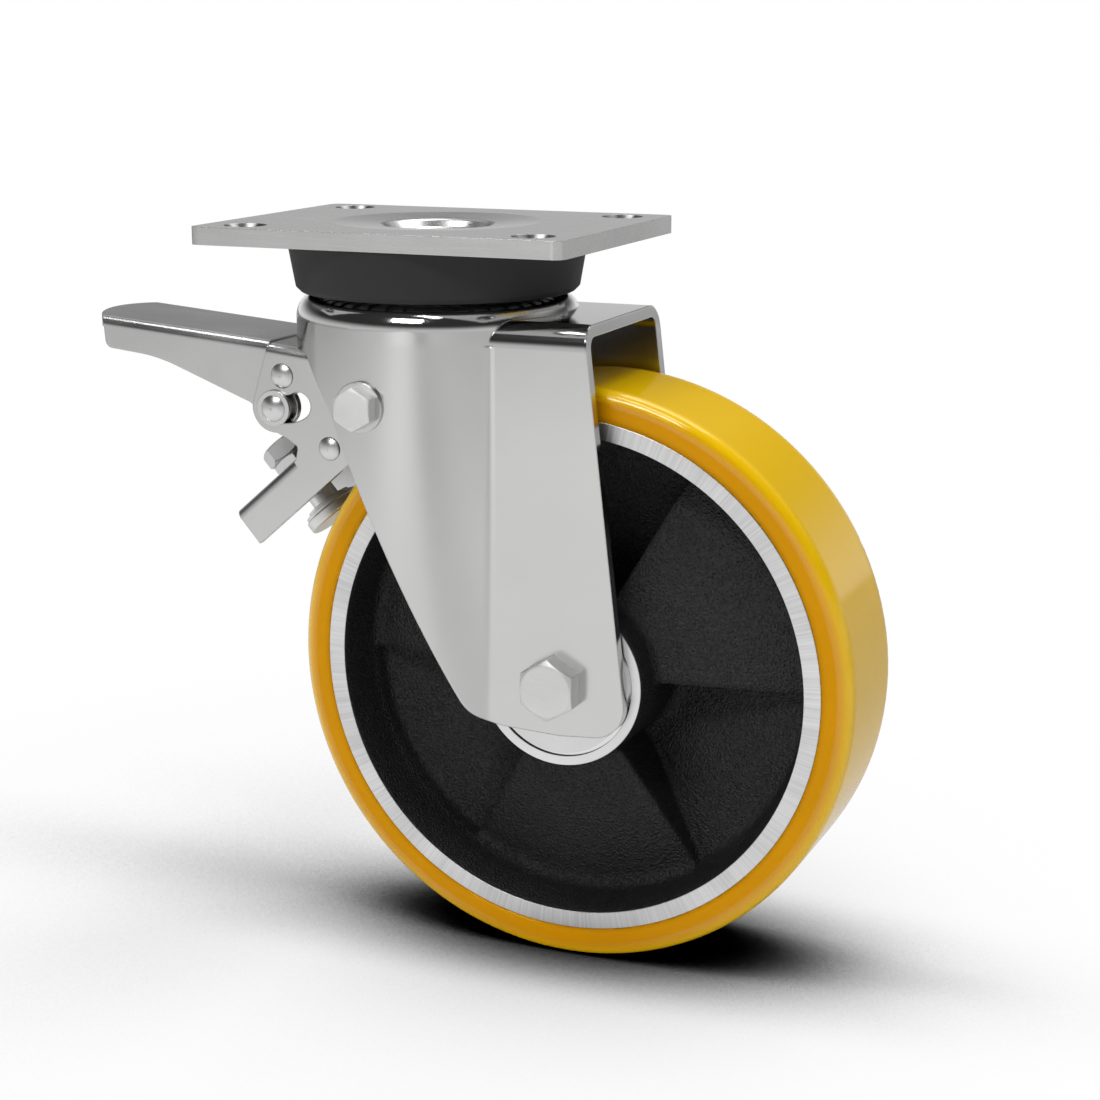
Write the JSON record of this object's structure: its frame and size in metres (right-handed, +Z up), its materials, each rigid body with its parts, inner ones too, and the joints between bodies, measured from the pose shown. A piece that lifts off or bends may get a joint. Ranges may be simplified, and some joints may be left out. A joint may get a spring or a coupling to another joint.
{
  "type": "swivel castor",
  "caption": "Heavy-duty plate-mounted swivel castor: pressed steel fork, roller wheel with elastomer tread, rear pedal that locks both wheel and swivel.",
  "frame": {"origin": "middle of the plate's mounting face, on the swivel axis", "axes": "+Z up out of the mounting face, +X towards the trailing wheel at rest, Y along the wheel's axle"},
  "size_m": [0.2885, 0.1142, 0.25],
  "materials": {
    "zinc_steel": "satin zinc plated sheet",
    "bright_zinc": "smooth satin zinc plated pressing",
    "black_seal": "matt black rubber",
    "black_core": "black coated casting with machined faces",
    "amber_tread": "glossy amber polyurethane",
    "plated_bolts": "light zinc plating",
    "bearing_steel": "ground bearing steel",
    "dark_steel": "hardened steel, dull",
    "spring_wire": "plated spring wire"
  },
  "bodies": {
    "plate": {"top_plate": "zinc_steel", "kingpin": "dark_steel", "upper_race": "dark_steel", "upper_balls": "bearing_steel", "swivel_lock_ring": "dark_steel", "dust_seal": "black_seal", "lower_cone": "dark_steel", "kingpin_washer": "plated_bolts", "kingpin_nut": "plated_bolts", "lower_balls": "bearing_steel"},
    "fork": {"fork": "bright_zinc", "head_race": "dark_steel", "head_lower_race": "dark_steel", "axle_bolt": "plated_bolts", "axle_washer": "plated_bolts", "axle_nut": "plated_bolts", "axle_sleeve": "dark_steel", "bearing_spacer": "dark_steel", "bearing_caps": "bearing_steel", "bearing_inner_rings": "bearing_steel", "brake_pivot_bolt": "plated_bolts", "pivot_collars": "bright_zinc", "brake_pivot_nut": "plated_bolts", "pivot_spacers": "dark_steel", "bracket_bush": "dark_steel"},
    "wheel": {"wheel_core": "black_core", "tread": "amber_tread", "bearing_outer_rings": "bearing_steel", "bearing_balls": "bearing_steel", "bearing_shields": "bearing_steel"},
    "bracket": {"brake_bracket": "zinc_steel", "bracket_tie": "zinc_steel", "hinge_pin": "zinc_steel", "adjusting_screw": "plated_bolts", "adjusting_nut": "plated_bolts", "foot_washers": "zinc_steel", "brake_foot": "zinc_steel", "pedal_spring": "spring_wire"},
    "pedal": {"brake_pedal": "zinc_steel", "pedal_cam": "dark_steel", "slot_studs": "zinc_steel", "slot_washers": "zinc_steel"},
    "pawl": {"lock_pawl": "dark_steel"}
  },
  "joints": [
    {"name": "swivel", "type": "hinge", "parent": "plate", "child": "fork", "pos_m": [0, 0, -0.02], "axis": [0, 0, 1], "continuous": true},
    {"name": "wheel_spin", "type": "hinge", "parent": "fork", "child": "wheel", "pos_m": [0.0575, 0, -0.15], "axis": [0, 1, 0], "continuous": true},
    {"name": "pedal_press", "type": "hinge", "parent": "bracket", "child": "pedal", "pos_m": [-0.0489, 0, -0.0532], "axis": [0, -1, 0], "range_deg": [0, 45]},
    {"name": "bracket_swing", "type": "hinge", "parent": "fork", "child": "bracket", "pos_m": [-0.0061, 0, -0.0575], "axis": [0, -1, 0], "range_deg": [0, 3]},
    {"name": "pawl_lift", "type": "slide", "parent": "fork", "child": "pawl", "axis": [0, 0, 1], "range_m": [0, 0.003]}
  ],
  "couplings": [
    {"joint": "bracket_swing", "follows": "pedal_press", "ratio": 0.066666},
    {"joint": "pawl_lift", "follows": "pedal_press", "m_per_rad": 0.003819}
  ]
}
